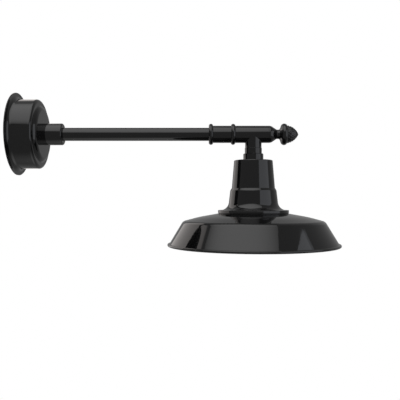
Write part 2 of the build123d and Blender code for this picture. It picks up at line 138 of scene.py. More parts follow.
# %% Gloss black powder coat
deep_black, worn_black = linear("#090909"), linear("#0e0e0f")
peel_depth = 0.000004
coat_steel, tree, shader = start_material("gloss_black_powder_coat_on_steel")
place = add_node(tree, "ShaderNodeTexCoord", {})
peel = add_node(tree, "ShaderNodeTexNoise",
                {"Vector": place.outputs["Object"], "Scale": per_mm(2.5), "Detail": 1.5})
handling = add_node(tree, "ShaderNodeTexNoise",
                    {"Vector": place.outputs["Object"], "Scale": per_mm(60), "Detail": 4.0})
tint = add_node(tree, "ShaderNodeMix",
                {"Factor": handling.outputs["Fac"], "A": deep_black, "B": worn_black},
                data_type="RGBA")
clarity = add_node(tree, "ShaderNodeMapRange",
                   {"Value": handling.outputs["Fac"], "From Min": 0.35, "From Max": 0.7,
                    "To Min": 0.035, "To Max": 0.075})
skin = add_node(tree, "ShaderNodeBump",
                {"Height": peel.outputs["Fac"], "Distance": peel_depth, "Strength": 1.0})
feed(tree, shader, Base_Color=result(tint), Roughness=result(clarity),
     Normal=skin.outputs["Normal"], IOR=1.5)
print(coat_steel.name, len(tree.nodes), "nodes")

# %% [markdown]
# ## Gloss black on castings
# The collar, the tee, the finial, the coupling and the neck are castings, turned where they show
# and coated in the same black. Cast skin is a little less even than sheet: a slow swell about
# 9 mm wide lies under the orange peel. A bump for the swell hands its normal on to a bump for the
# peel, so both show at once.

# %% Gloss black on castings
coat_casting, tree, shader = start_material("gloss_black_powder_coat_on_casting")
place = add_node(tree, "ShaderNodeTexCoord", {})
peel = add_node(tree, "ShaderNodeTexNoise",
                {"Vector": place.outputs["Object"], "Scale": per_mm(1.8), "Detail": 2.0})
swell = add_node(tree, "ShaderNodeTexNoise",
                 {"Vector": place.outputs["Object"], "Scale": per_mm(9), "Detail": 0.0})
handling = add_node(tree, "ShaderNodeTexNoise",
                    {"Vector": place.outputs["Object"], "Scale": per_mm(35), "Detail": 4.0})
tint = add_node(tree, "ShaderNodeMix",
                {"Factor": handling.outputs["Fac"], "A": linear("#080808"), "B": linear("#0f0f10")},
                data_type="RGBA")
clarity = add_node(tree, "ShaderNodeMapRange",
                   {"Value": handling.outputs["Fac"], "From Min": 0.35, "From Max": 0.7,
                    "To Min": 0.04, "To Max": 0.085})
swelled = add_node(tree, "ShaderNodeBump",
                   {"Height": swell.outputs["Fac"], "Distance": 0.000012, "Strength": 1.0})
skin = add_node(tree, "ShaderNodeBump",
                {"Height": peel.outputs["Fac"], "Distance": peel_depth, "Strength": 1.0,
                 "Normal": swelled.outputs["Normal"]})
feed(tree, shader, Base_Color=result(tint), Roughness=result(clarity),
     Normal=skin.outputs["Normal"], IOR=1.5)
print(coat_casting.name, len(tree.nodes), "nodes")

# %% [markdown]
# ## The shade: black outside, white enamel inside
# A barn shade is sprayed black outside and white inside, so that it throws the light down. The
# two paints meet at the bottom of the rolled rim. The solid is one sheet, so its material asks
# which way the surface faces: away from the lamp's axis or up is outside, towards the axis or
# down is inside. Spinning leaves rings about 4 mm apart, so shallow that only a reflection moving
# over them tells.

# %% Two-colour shade paint
stem_x = 0.4827  # wall to the lamp's axis
wave_step = math.pi / 10  # one wave of a wave texture at scale 1
shade_paint, tree, shader = start_material("black_coat_outside_white_enamel_inside")
place = add_node(tree, "ShaderNodeTexCoord", {})
from_axis = add_node(tree, "ShaderNodeVectorMath", {0: place.outputs["Object"], 1: (stem_x, 0, 0)},
                     operation="SUBTRACT")
flat_way = add_node(tree, "ShaderNodeVectorMath", {0: from_axis.outputs["Vector"], 1: (1, 1, 0)},
                    operation="MULTIPLY")
away = add_node(tree, "ShaderNodeVectorMath", {0: flat_way.outputs["Vector"]},
                operation="NORMALIZE")
outside_way = add_node(tree, "ShaderNodeVectorMath",
                       {0: away.outputs["Vector"], 1: (0.8, 0.8, 0), 2: (0, 0, 0.6)},
                       operation="MULTIPLY_ADD")
facing = add_node(tree, "ShaderNodeVectorMath",
                  {0: outside_way.outputs["Vector"], 1: place.outputs["Normal"]},
                  operation="DOT_PRODUCT")
inside = add_node(tree, "ShaderNodeMapRange",
                  {"Value": facing.outputs["Value"], "From Min": -0.4, "From Max": -0.5,
                   "To Min": 0.0, "To Max": 1.0})
handling = add_node(tree, "ShaderNodeTexNoise",
                    {"Vector": place.outputs["Object"], "Scale": per_mm(70), "Detail": 4.0})
black = add_node(tree, "ShaderNodeMix",
                 {"Factor": handling.outputs["Fac"], "A": deep_black, "B": worn_black},
                 data_type="RGBA")
white = add_node(tree, "ShaderNodeMix",
                 {"Factor": handling.outputs["Fac"],
                  "A": linear("#eceae2"), "B": linear("#f4f2ec")}, data_type="RGBA")
paint = add_node(tree, "ShaderNodeMix",
                 {"Factor": result(inside), "A": result(black), "B": result(white)},
                 data_type="RGBA")
black_clarity = add_node(tree, "ShaderNodeMapRange",
                         {"Value": handling.outputs["Fac"], "From Min": 0.35, "From Max": 0.7,
                          "To Min": 0.035, "To Max": 0.075})
clarity = add_node(tree, "ShaderNodeMix",
                   {"Factor": result(inside), "A": result(black_clarity), "B": 0.24})
rings = add_node(tree, "ShaderNodeTexWave",
                 {"Vector": from_axis.outputs["Vector"], "Scale": per_mm(4) * wave_step},
                 wave_type="RINGS", rings_direction="Z")
spun = add_node(tree, "ShaderNodeBump",
                {"Height": rings.outputs["Fac"], "Distance": 0.000001, "Strength": 1.0})
peel = add_node(tree, "ShaderNodeTexNoise",
                {"Vector": place.outputs["Object"], "Scale": per_mm(2.5), "Detail": 1.5})
skin = add_node(tree, "ShaderNodeBump",
                {"Height": peel.outputs["Fac"], "Distance": peel_depth, "Strength": 1.0,
                 "Normal": spun.outputs["Normal"]})
feed(tree, shader, Base_Color=result(paint), Roughness=result(clarity),
     Normal=skin.outputs["Normal"], IOR=1.5)
print(shade_paint.name, len(tree.nodes), "nodes")

# %% [markdown]
# ## Zinc-plated steel
# The crossbar, nipples, nuts and small screws behind the canopy and in the head are zinc-plated.
# The plating is a bright grey metal with a faint straw and blue bloom from its chromate bath and
# a fine crystal grain, about 0.4 mm, that blurs what it mirrors. A metal keeps its IOR.

# %% Zinc-plated steel
zinc, tree, shader = start_material("zinc_plated_steel")
place = add_node(tree, "ShaderNodeTexCoord", {})
bloom = add_node(tree, "ShaderNodeTexNoise",
                 {"Vector": place.outputs["Object"], "Scale": per_mm(14), "Detail": 3.0})
tint = add_node(tree, "ShaderNodeMix",
                {"Factor": bloom.outputs["Fac"], "A": linear("#b7bcc4"), "B": linear("#c6c2b0")},
                data_type="RGBA")
grain = add_node(tree, "ShaderNodeTexVoronoi",
                 {"Vector": place.outputs["Object"], "Scale": per_mm(0.4)})
blur = add_node(tree, "ShaderNodeMapRange",
                {"Value": grain.outputs["Distance"], "From Min": 0.0, "From Max": 0.9,
                 "To Min": 0.26, "To Max": 0.42})
skin = add_node(tree, "ShaderNodeBump",
                {"Height": grain.outputs["Distance"], "Distance": 0.000006, "Strength": 0.6})
feed(tree, shader, Base_Color=result(tint), Roughness=result(blur),
     Normal=skin.outputs["Normal"], Metallic=1.0)
print(zinc.name, len(tree.nodes), "nodes")

# %% [markdown]
# ## Stainless and black oxide screws
# The four clamp screws under the shade are stainless, tumbled bright with fine random scratches.
# The set screws are black oxide: a thin dark layer, oiled, through which the steel still shines.
# Both are metal shaders. They differ in colour and in how broken the surface is.

# %% Stainless and black oxide
screw_finishes = {}
for name, dark, light, clear, dull, scratch_mm in (
    ("tumbled_stainless_steel", "#b5b2ac", "#cfccc6", 0.18, 0.34, 0.5),
    ("black_oxide_steel", "#131315", "#242427", 0.28, 0.48, 0.7),
):
    material, tree, shader = start_material(name)
    place = add_node(tree, "ShaderNodeTexCoord", {})
    scratch = add_node(tree, "ShaderNodeTexNoise",
                       {"Vector": place.outputs["Object"], "Scale": per_mm(scratch_mm),
                        "Detail": 5.0, "Distortion": 1.5})
    tint = add_node(tree, "ShaderNodeMix",
                    {"Factor": scratch.outputs["Fac"], "A": linear(dark), "B": linear(light)},
                    data_type="RGBA")
    blur = add_node(tree, "ShaderNodeMapRange",
                    {"Value": scratch.outputs["Fac"], "From Min": 0.3, "From Max": 0.7,
                     "To Min": clear, "To Max": dull})
    skin = add_node(tree, "ShaderNodeBump",
                    {"Height": scratch.outputs["Fac"], "Distance": 0.000008, "Strength": 0.5})
    feed(tree, shader, Base_Color=result(tint), Roughness=result(blur),
         Normal=skin.outputs["Normal"], Metallic=1.0)
    screw_finishes[name] = material
print(sorted(screw_finishes))

# %% [markdown]
# ## Moulded and painted small parts
# The rest is plastic, rubber, paint or phosphor: a colour that hardly varies, and a surface between
# satin and dull with the fine grain of its mould or its spray. They share a recipe, so one loop
# makes them from a list of what each is, its two tones, its gloss, its grain and its IOR.

# %% Moulded and painted small parts
small_finishes = {}
for name, dark, light, clear, dull, grain_mm, depth, ior in (
    ("green_lacquered_steel", "#174f27", "#23683a", 0.30, 0.45, 0.8, 0.000010, 1.5),
    ("natural_nylon", "#d8d1bf", "#e6e0d2", 0.38, 0.52, 0.6, 0.000008, 1.53),
    ("black_pvc_jacket", "#121213", "#1d1d1e", 0.42, 0.58, 0.5, 0.000010, 1.54),
    ("black_silicone_rubber", "#0d0d0d", "#151515", 0.25, 0.40, 0.7, 0.000006, 1.41),
    ("white_satin_paint_on_aluminium", "#e6e4dd", "#f0eee8", 0.30, 0.42, 0.9, 0.000006, 1.5),
    ("white_solder_mask", "#dedfd8", "#ebebe5", 0.32, 0.46, 0.6, 0.000006, 1.52),
    ("led_phosphor_in_silicone", "#c79d2c", "#e0bd4f", 0.45, 0.60, 0.3, 0.000010, 1.41),
    ("red_silicone_lead", "#6e1413", "#8a1f1c", 0.45, 0.60, 0.4, 0.000008, 1.41),
    ("dark_grey_polycarbonate_case", "#2a2a2c", "#38383a", 0.42, 0.58, 0.7, 0.000014, 1.58),
):
    material, tree, shader = start_material(name)
    place = add_node(tree, "ShaderNodeTexCoord", {})
    tone = add_node(tree, "ShaderNodeTexNoise",
                    {"Vector": place.outputs["Object"], "Scale": per_mm(18), "Detail": 3.0})
    grain = add_node(tree, "ShaderNodeTexNoise",
                     {"Vector": place.outputs["Object"], "Scale": per_mm(grain_mm), "Detail": 2.0})
    tint = add_node(tree, "ShaderNodeMix",
                    {"Factor": tone.outputs["Fac"], "A": linear(dark), "B": linear(light)},
                    data_type="RGBA")
    blur = add_node(tree, "ShaderNodeMapRange",
                    {"Value": tone.outputs["Fac"], "From Min": 0.3, "From Max": 0.7,
                     "To Min": clear, "To Max": dull})
    skin = add_node(tree, "ShaderNodeBump",
                    {"Height": grain.outputs["Fac"], "Distance": depth, "Strength": 1.0})
    feed(tree, shader, Base_Color=result(tint), Roughness=result(blur),
         Normal=skin.outputs["Normal"], IOR=ior)
    small_finishes[name] = material
print(len(small_finishes), "small finishes")

# %% [markdown]
# ## Turned aluminium and copper
# The lamp's plate is a heat sink, faced on a lathe: tool rings about 0.4 mm apart, drawn here 1 mm
# apart so that they show. Wave rings round the lamp's axis give them, and a noise gives the faint
# bloom that bare aluminium gets.

# %% Turned aluminium
aluminium, tree, shader = start_material("turned_aluminium")
place = add_node(tree, "ShaderNodeTexCoord", {})
from_axis = add_node(tree, "ShaderNodeVectorMath", {0: place.outputs["Object"], 1: (stem_x, 0, 0)},
                     operation="SUBTRACT")
rings = add_node(tree, "ShaderNodeTexWave",
                 {"Vector": from_axis.outputs["Vector"], "Scale": per_mm(1.0) * wave_step},
                 wave_type="RINGS", rings_direction="Z")
bloom = add_node(tree, "ShaderNodeTexNoise",
                 {"Vector": place.outputs["Object"], "Scale": per_mm(20), "Detail": 3.0})
tint = add_node(tree, "ShaderNodeMix",
                {"Factor": bloom.outputs["Fac"], "A": linear("#bfc1c3"), "B": linear("#d0d1d1")},
                data_type="RGBA")
blur = add_node(tree, "ShaderNodeMapRange",
                {"Value": bloom.outputs["Fac"], "From Min": 0.3, "From Max": 0.7,
                 "To Min": 0.25, "To Max": 0.38})
skin = add_node(tree, "ShaderNodeBump",
                {"Height": rings.outputs["Fac"], "Distance": 0.00001, "Strength": 0.7})
feed(tree, shader, Base_Color=result(tint), Roughness=result(blur),
     Normal=skin.outputs["Normal"], Metallic=1.0)
print(aluminium.name, len(tree.nodes), "nodes")

# %% [markdown]
# Copper is only seen where the cable's cores are cut. It is drawn wire, bright where it was cut
# and a little tarnished, in patches under a millimetre wide.

# %% Drawn copper
copper, tree, shader = start_material("drawn_copper")
place = add_node(tree, "ShaderNodeTexCoord", {})
tarnish = add_node(tree, "ShaderNodeTexNoise",
                   {"Vector": place.outputs["Object"], "Scale": per_mm(0.8), "Detail": 3.0})
tint = add_node(tree, "ShaderNodeMix",
                {"Factor": tarnish.outputs["Fac"], "A": linear("#b0673f"), "B": linear("#d08a5c")},
                data_type="RGBA")
blur = add_node(tree, "ShaderNodeMapRange",
                {"Value": tarnish.outputs["Fac"], "To Min": 0.2, "To Max": 0.4})
feed(tree, shader, Base_Color=result(tint), Roughness=result(blur), Metallic=1.0)
print(copper.name, len(tree.nodes), "nodes")

# %% [markdown]
# ## Frosted polycarbonate lens
# The lens under the shade is moulded milky polycarbonate with a frosted skin (IOR 1.58). It lets
# light through but no picture: unlit it looks like white frosted glass, a little darker where it
# is deep. Part of the light goes through and part is scattered back, so the shader has a
# transmission share over a white base, and the frost is a fine grain in the bump.

# %% Frosted polycarbonate
frosted, tree, shader = start_material("frosted_polycarbonate")
place = add_node(tree, "ShaderNodeTexCoord", {})
frost = add_node(tree, "ShaderNodeTexNoise",
                 {"Vector": place.outputs["Object"], "Scale": per_mm(0.6), "Detail": 3.0})
milk = add_node(tree, "ShaderNodeTexNoise",
                {"Vector": place.outputs["Object"], "Scale": per_mm(30), "Detail": 2.0})
tint = add_node(tree, "ShaderNodeMix",
                {"Factor": milk.outputs["Fac"], "A": linear("#efeee8"), "B": linear("#f7f6f1")},
                data_type="RGBA")
blur = add_node(tree, "ShaderNodeMapRange",
                {"Value": milk.outputs["Fac"], "From Min": 0.3, "From Max": 0.7,
                 "To Min": 0.42, "To Max": 0.55})
skin = add_node(tree, "ShaderNodeBump",
                {"Height": frost.outputs["Fac"], "Distance": 0.00002, "Strength": 0.8})
feed(tree, shader, Base_Color=result(tint), Roughness=result(blur),
     Normal=skin.outputs["Normal"], IOR=1.58, Transmission_Weight=0.35)
print(frosted.name, len(tree.nodes), "nodes")

# %% [markdown]
# ## Dress the solids
# Each solid has the shape of the real piece, so most need no more than a finish. The list goes by
# what the piece is made of. Five of them get a finer piece in their place further down.

# %% Dress the solids
dress = {
    coat_steel: ["canopy", "arm_tube"],
    coat_casting: ["collar", "tee_fitting", "finial", "stem_coupling", "neck_cap", "neck_base"],
    shade_paint: ["shade"],
    zinc: ["crossbar", "canopy_nipple", "crossbar_locknuts", "stem_nipple", "stem_locknut",
           "board_screws", "driver_screws"],
    screw_finishes["tumbled_stainless_steel"]: ["clamp_screws"],
    screw_finishes["black_oxide_steel"]: ["collar_set_screw", "tee_set_screw",
                                          "coupling_set_screw"],
    small_finishes["green_lacquered_steel"]: ["ground_screw"],
    small_finishes["natural_nylon"]: ["canopy_bushing", "stem_bushing"],
    small_finishes["black_pvc_jacket"]: ["arm_cable", "tee_cable", "head_cable"],
    small_finishes["black_silicone_rubber"]: ["neck_seal", "flange_gasket"],
    aluminium: ["led_plate"],
    small_finishes["white_satin_paint_on_aluminium"]: ["lens_ring"],
    frosted: ["lens"],
    small_finishes["white_solder_mask"]: ["led_board"],
    small_finishes["led_phosphor_in_silicone"]: ["led_chips"],
    small_finishes["red_silicone_lead"]: ["led_leads"],
    small_finishes["dark_grey_polycarbonate_case"]: ["driver_case"],
}
for material, names in dress.items():
    for name in names:
        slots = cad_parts[name].data.materials
        slots.clear()
        slots.append(material)
bare = set(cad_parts) - {name for names in dress.values() for name in names}
print("dressed:", len(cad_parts) - len(bare), "left bare:", sorted(bare))

# %% [markdown]
# ## The pinecone finial
# The finial is the plug that closes the tee's front end: a tapered shoulder, a thin neck, a bead
# and a pinecone with rows of sixteen scales, each row overlapping the next. A modifier could
# displace a lathed body, but the scales' tips need to land exactly on a grid. So the body is built
# ring by ring: plain rings for what the lathe turned, and rings with scales for the cone.
# First comes the lathe's outline, with its corners rounded to the tool's radii. It ends on the
# bead's front, where the cone comes out.

# %% The finial's outline
def rounded(corners, steps=7):
    points = []
    for i, (x, r, radius) in enumerate(corners):
        here = Vector((x, r))
        if radius == 0:
            points.append(here)
            continue
        back = (Vector(corners[i - 1][:2]) - here).normalized()
        ahead = (Vector(corners[i + 1][:2]) - here).normalized()
        half = back.angle(ahead) / 2
        centre = here + (back + ahead).normalized() * radius / math.sin(half)
        start = here + back * radius / math.tan(half) - centre
        end = here + ahead * radius / math.tan(half) - centre
        for k in range(steps + 1):
            points.append(centre + start.lerp(end, k / steps).normalized() * radius)
    return points


finial_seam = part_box("tee_fitting")[1].x  # where the finial meets the tee
spigot_length, spigot_r = 0.010, 0.0133  # the part inside the tee
sleeve_r, seam_chamfer = 0.0175, 0.00035
shoulder_x, shoulder_round = finial_seam + 0.0050, 0.012
neck_start, neck_end = finial_seam + 0.0168, finial_seam + 0.0224
neck_r, neck_round = 0.00945, 0.0036
bead_x, bead_r, bead_round = finial_seam + 0.03215, 0.01545, 0.0066
bead_points, bead_turn = 14, 11  # one point every 11 degrees
turned = rounded([
    (finial_seam - spigot_length, spigot_r, 0),
    (finial_seam, spigot_r, 0),
    (finial_seam, sleeve_r - seam_chamfer, 0),
    (finial_seam + seam_chamfer, sleeve_r, 0),
    (shoulder_x, sleeve_r, shoulder_round),
    (neck_start, neck_r, neck_round),
    (neck_end, neck_r, neck_round),
    (bead_x - bead_round, bead_r, 0),
])
for step in range(1, bead_points + 1):
    turn = math.radians(180 - step * bead_turn)
    turned.append(Vector((bead_x + bead_round * math.cos(turn),
                          bead_r + bead_round * math.sin(turn))))
print("outline points:", len(turned))
print("bead across in mm:", round(2000 * max(p.y for p in turned), 1))

# %% [markdown]
# Now the scales. Along the cone a point lies in one row, and the row behind may still reach over
# it. Each scale rises from its foot to its tip, sinks a little at its sides and ends in a rounded
# tip. The higher of the two scales is what shows, and that gives the overlap its crisp edge.

# %% Rings of the finial
cone_x, cone_r, cone_length = finial_seam + 0.0348, 0.018, 0.0267
arc = (cone_length ** 2 + cone_r ** 2) / (2 * cone_r)  # radius of the cone's outline
lean = math.asin(cone_length / arc)
hidden = math.asin((turned[-1].x - cone_x) / arc)  # the part of the cone inside the bead
scale_rows, scales_round, scale_points = 7, 16, 12
overlap, tip_power, side_sink = 0.42, 1.7, 0.6  # in shares of one scale
root_depth, end_depth = 0.0020, 0.0005  # how deep the scales are cut, at the bead and at the end
middle_height = 0.55  # the height of a scale that lies on the cone's outline
smallest_r = 0.0003  # keeps the last rings open
around = scales_round * scale_points


def scale_height(row_place, turn):
    best = 0.0
    row = int(row_place)
    for k in (row, row - 1):
        along = row_place - k
        across = 2 * ((turn * scales_round + 0.5 * (k % 2)) % 1) - 1
        tip = 1.0 + overlap * (1 - abs(across) ** tip_power)
        if 0 <= k and along < tip:
            best = max(best, along / (1.0 + overlap) * (1 - side_sink * across * across))
    return best


rings = [[(p.x, p.y)] * around for p in turned]
cone_steps = scale_rows * scale_points
for step in range(1, cone_steps):
    way = hidden + (lean - hidden) * step / cone_steps
    x, r = cone_x + arc * math.sin(way), cone_r - arc + arc * math.cos(way)
    depth = end_depth + (root_depth - end_depth) * r / cone_r
    ring = []
    for k in range(around):
        lift = depth * (scale_height(scale_rows * way / lean, k / around) - middle_height)
        ring.append((x + lift * math.sin(way), max(r + lift * math.cos(way), smallest_r)))
    rings.append(ring)
print("rings:", len(rings), "points around:", around)

# %% [markdown]
# A list of rings becomes a skin of quads. The same small function serves every turned piece below:
# it places each ring's points round an axis along X, joins neighbouring rings and closes the ends,
# or joins the last ring to the first for a tube. Edges sharper than the crease angle stay crisp.

# %% Skin over rings
def skin_rings(name, rings, material, body, closed=False, beside=(0.0, 0.0), crease=180):
    count = len(rings[0])
    points = []
    for ring in rings:
        for k, (x, r) in enumerate(ring):
            turn = 2 * math.pi * k / count
            points.append((x, beside[0] + r * math.sin(turn), beside[1] + r * math.cos(turn)))
    faces = []
    pairs = len(rings) if closed else len(rings) - 1
    for i in range(pairs):
        a, b = i * count, (i + 1) % len(rings) * count
        for k in range(count):
            faces.append((a + k, b + k, b + (k + 1) % count, a + (k + 1) % count))
    if not closed:
        faces.append(tuple(range(count)))
        faces.append(tuple(reversed(range(len(points) - count, len(points)))))
    mesh = bpy.data.meshes.new(name)
    mesh.from_pydata(points, [], faces)
    mesh.validate()
    mesh.materials.append(material)
    mesh.shade_smooth()
    mesh.set_sharp_from_angle(angle=math.radians(crease))
    piece = bpy.data.objects.new(name, mesh)
    bpy.context.scene.collection.objects.link(piece)
    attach(piece, body)
    return piece


finial = skin_rings("pinecone_finial", rings, coat_casting, "tee")
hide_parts("finial")
print(finial.name, "faces:", len(finial.data.polygons))

# %% [markdown]
# ## The spun canopy
# The canopy is one steel sheet, pressed over a turning former: a flange on the wall, a drum, and a
# front whose middle is raised. The step up to the middle starts steep and runs out in a long
# round. The solid has the same step with a short round, and gloss paint shows the difference: a
# short round catches the overhead box, a long one the dim room. So the sheet is turned again here,
# along its outside and back along its inside, which is the same line moved in by the sheet's
# thickness. Weighted normals keep the drum and the front straight between their rounds.

# %% Spun canopy
gauge, canopy_points = 0.0015, 128
flange_width, foot_r, nipple_gap = 0.01325, 0.058, 0.00005
flange_r, face_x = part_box("canopy")[1].z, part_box("canopy")[1].x
drum_r, hole_r = flange_r - flange_width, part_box("canopy_nipple")[1].z + nipple_gap
rise, run = 0.0062, 0.0052  # the step up to the raised middle
step_x = face_x - rise
shift = gauge * (math.hypot(rise, run) - run) / rise  # of the step's corners on the inside
root_round, edge_round, foot_round, long_round = 0.008, 0.006, 0.002, 0.0115
canopy_line = rounded([
    (gauge, flange_r, 0),
    (gauge, drum_r, root_round),
    (step_x, drum_r, edge_round),
    (step_x, foot_r, foot_round),
    (face_x, foot_r - run, long_round),
    (face_x, hole_r, 0),
    (face_x - gauge, hole_r, 0),
    (face_x - gauge, foot_r - run - shift, long_round - gauge),
    (step_x - gauge, foot_r - shift, foot_round + gauge),
    (step_x - gauge, drum_r - gauge, edge_round - gauge),
    (0.0, drum_r - gauge, root_round + gauge),
    (0.0, flange_r, 0),
], steps=10)
rings = [[(p.x, p.y)] * canopy_points for p in canopy_line]
canopy = skin_rings("spun_canopy", rings, coat_steel, "wall_arm",
                    closed=True, crease=40)
canopy.modifiers.new("straight between rounds", "WEIGHTED_NORMAL").keep_sharp = True
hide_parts("canopy")
print(canopy.name, "outline points:", len(canopy_line))

# %% [markdown]
# ## The threaded nipple
# Behind the canopy a pipe nipple joins the crossbar to the collar. Its thread shows from the back:
# one groove winding round at 1.4 mm a turn. A screw modifier would make it too, but the rings are
# already here: on each ring the radius follows how far the winding has come, so the groove
# climbs by itself. The bore closes the skin into a tube.

# %% Threaded nipple
nipple_low, nipple_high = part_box("canopy_nipple")
nipple_length, nipple_points = nipple_high.x - nipple_low.x, 48
nipple_r, bore_r = nipple_high.z, 0.0055
pitch, thread_depth, rings_a_turn = 0.0014, 0.0007, 4
thread_turns = round(nipple_length / pitch)
thread_steps = rings_a_turn * thread_turns
rings = []
for step in range(thread_steps + 1):
    x = nipple_low.x + nipple_length * step / thread_steps
    ends = min(1.0, (x - nipple_low.x) / pitch, (nipple_high.x - x) / pitch)
    ring = []
    for k in range(nipple_points):
        wound = (x / pitch + k / nipple_points) % 1
        groove = thread_depth * abs(2 * wound - 1)
        ring.append((x, nipple_r - groove * ends - thread_depth * (1 - ends)))
    rings.append(ring)
rings.append([(nipple_high.x, bore_r)] * nipple_points)
rings.append([(nipple_low.x, bore_r)] * nipple_points)
nipple = skin_rings("threaded_nipple", rings, zinc, "wall_arm", closed=True)
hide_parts("canopy_nipple")
print(nipple.name, "turns:", thread_turns)

# %% [markdown]
# ## Chamfered locknuts
# Two hexagon nuts clamp the crossbar on the nipple. A real nut is cut from bar and chamfered on a
# lathe, so a cone takes off the six corners and leaves curved edges where it meets the flats. With
# rings that comes by itself: the outer ring follows the hexagon, and it lies lower wherever it
# reaches further out than the cone.

# %% Chamfered locknuts
across_flats, nut_thick, nut_points = 0.022, 0.005, 72
flat_r = across_flats / 2 * 0.97  # the cone starts a little inside the flats
cone_slope = math.tan(math.radians(30))
bore_chamfer = 0.0006
for place_name, nut_x in (("behind", 0.006), ("ahead", 0.0135)):
    nut_end = nut_x + nut_thick
    low, high = [], []
    for k in range(nut_points):
        off_flat = (360 * k / nut_points - 90) % 60 - 30
        hex_r = across_flats / 2 / math.cos(math.radians(off_flat))
        drop = (hex_r - flat_r) * cone_slope
        low.append((nut_x + drop, hex_r))
        high.append((nut_end - drop, hex_r))
    rings = [
        [(nut_x + bore_chamfer, nipple_r)] * nut_points,
        [(nut_x, nipple_r + bore_chamfer)] * nut_points,
        [(nut_x, flat_r)] * nut_points,
        low,
        high,
        [(nut_end, flat_r)] * nut_points,
        [(nut_end, nipple_r + bore_chamfer)] * nut_points,
        [(nut_end - bore_chamfer, nipple_r)] * nut_points,
    ]
    nut = skin_rings("locknut_" + place_name, rings, zinc, "wall_arm",
                     closed=True, crease=25)
    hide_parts("crossbar_locknuts")
    print(nut.name, "at", round(1000 * nut_x, 1), "mm from the wall")

# %% [markdown]
# ## The cable's end
# The cable leaves the nipple towards the wall box. There its jacket is cut and three cores show:
# live, neutral and earth, each with its copper. The jacket is a tube whose outside swells a little
# where the twisted cores press on it.

# %% Cable jacket
cable_low, cable_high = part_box("arm_cable")
cable_r, cable_points, cable_steps = cable_high.z, 48, 159
lay_length, swell_depth, core_count = 0.060, 0.00008, 3
mouth_x, mouth_r = cable_low.x + 0.002, 0.0024  # how far the cores can be seen in the jacket
cut_r, swell_start = 0.00305, cable_low.x + 0.0002
shut_r = 0.0001  # beyond the mouth the jacket is all but solid
rings = [
    [(mouth_x, mouth_r)] * cable_points,
    [(cable_low.x, mouth_r)] * cable_points,
    [(cable_low.x, cut_r)] * cable_points,
]
for step in range(cable_steps + 1):
    x = swell_start + (cable_high.x - swell_start) * step / cable_steps
    ring = []
    for k in range(cable_points):
        twist = core_count * 2 * math.pi * (k / cable_points - x / lay_length)
        ring.append((x, cable_r - swell_depth * (1 - math.cos(twist)) / 2))
    rings.append(ring)
rings.append([(cable_high.x, shut_r)] * cable_points)
rings.append([(mouth_x, shut_r)] * cable_points)
jacket = skin_rings("cable_jacket", rings, small_finishes["black_pvc_jacket"], "wall_arm",
                    closed=True, crease=50)
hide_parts("arm_cable")
print(jacket.name, "length in mm:", round(1000 * (cable_high.x - cable_low.x), 1))

# %% [markdown]
# Each core is a tube of coloured insulation round a copper wire, both cut off square with the edge
# a little broken. The cores stand in the jacket's mouth, a third of a turn apart.

# %% Cable cores
core_r, copper_r, core_circle, core_points = 0.0010, 0.0006, 0.00125, 24
core_x, cut_edge, copper_cut_r = cable_low.x - 0.0008, 0.0001, 0.00048
cores = (("live", "black_pvc_jacket"), ("neutral", "natural_nylon"),
         ("earth", "green_lacquered_steel"))
wall_line = ((mouth_x, copper_r), (core_x, copper_r), (core_x, core_r - cut_edge),
             (core_x + cut_edge, core_r), (mouth_x, core_r))
wire_line = ((core_x - cut_edge, copper_cut_r), (core_x, copper_r), (mouth_x, copper_r))
wall = [[point] * core_points for point in wall_line]
wire = [[point] * core_points for point in wire_line]
for number, (core, finish) in enumerate(cores):
    turn = math.radians(90 + 120 * number)
    spot = (core_circle * math.cos(turn), core_circle * math.sin(turn))
    skin_rings("core_" + core, wall, small_finishes[finish], "wall_arm",
               closed=True, beside=spot, crease=40)
    skin_rings("copper_" + core, wire, copper, "wall_arm", beside=spot, crease=40)
print("cores:", len(cores))
